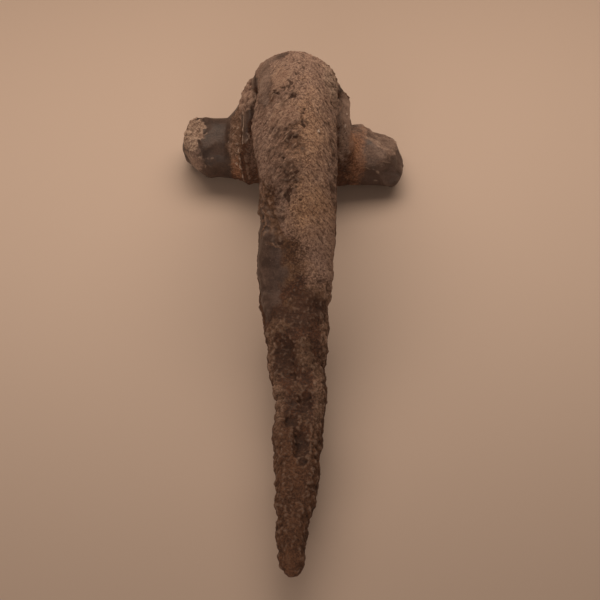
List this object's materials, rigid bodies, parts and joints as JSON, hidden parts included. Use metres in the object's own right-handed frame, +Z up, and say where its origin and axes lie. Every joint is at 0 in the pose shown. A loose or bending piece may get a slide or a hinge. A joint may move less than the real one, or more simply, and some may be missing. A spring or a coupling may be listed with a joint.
{
  "type": "bow brooch",
  "caption": "Rusted iron T-shaped bow brooch: short broken crossbar, swollen head, thick arched bow and long tapering foot with the stub of its catch plate.",
  "frame": {"origin": "on the surface the brooch lies on, under the middle of its bounding box", "axes": "+Z up from the surface, the crossbar along X, and the foot pointing along -Y"},
  "size_m": [0.034, 0.085, 0.0287],
  "materials": {
    "rusted_iron": "matt, crusted with rust and soil"
  },
  "bodies": {
    "root": {"brooch": "rusted_iron"}
  },
  "joints": []
}
